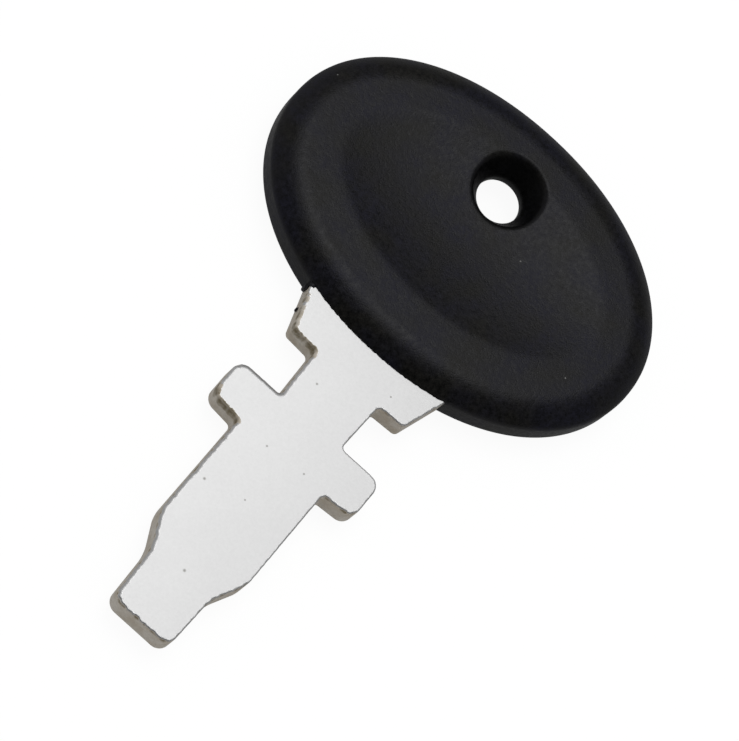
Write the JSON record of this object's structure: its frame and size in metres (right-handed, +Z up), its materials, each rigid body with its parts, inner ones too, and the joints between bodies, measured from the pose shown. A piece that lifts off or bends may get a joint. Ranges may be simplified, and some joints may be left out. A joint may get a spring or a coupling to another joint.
{
  "type": "tractor ignition key",
  "caption": "Flat stamped steel ignition key blade with side wings, neck notches and a stepped tip, in an oval moulded plastic head with a keyring hole.",
  "frame": {"origin": "under the middle of the key's length and width, on the surface that the head's lower land lies on", "axes": "+X across the key, +Y from the tip of the blade to the far end of the head, +Z up through the faces, out of the face that the picture shows"},
  "size_m": [0.039, 0.0608, 0.0052],
  "materials": {
    "plated_steel": "flat stamped sheet, satin plated faces, raw sheared edges",
    "moulded_plastic": "black, fine matte moulded grain"
  },
  "bodies": {
    "root": {"key_blade": "plated_steel", "key_head": "moulded_plastic"}
  },
  "joints": []
}
